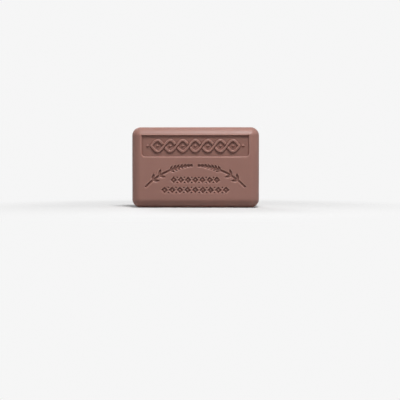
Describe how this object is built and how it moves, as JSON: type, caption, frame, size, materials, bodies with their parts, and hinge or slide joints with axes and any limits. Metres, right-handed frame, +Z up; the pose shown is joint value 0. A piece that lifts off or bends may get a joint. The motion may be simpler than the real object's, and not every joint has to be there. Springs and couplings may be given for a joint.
{
  "type": "bar of soap",
  "caption": "Pressed rectangular bar of soap with crowned shoulders, a sunk panel with a raised braid, and an engraved arch of leafy sprigs.",
  "frame": {"origin": "on the surface that the bar stands on, under the middle of its box", "axes": "+X along the bar's length, to the right as the front face is seen; -Y the way the front face looks; +Z up"},
  "size_m": [0.09, 0.024, 0.057],
  "materials": {
    "soap": "smooth waxy matte, milled soap coloured mauve-brown"
  },
  "bodies": {
    "root": {"soap_bar": "soap"}
  },
  "joints": []
}
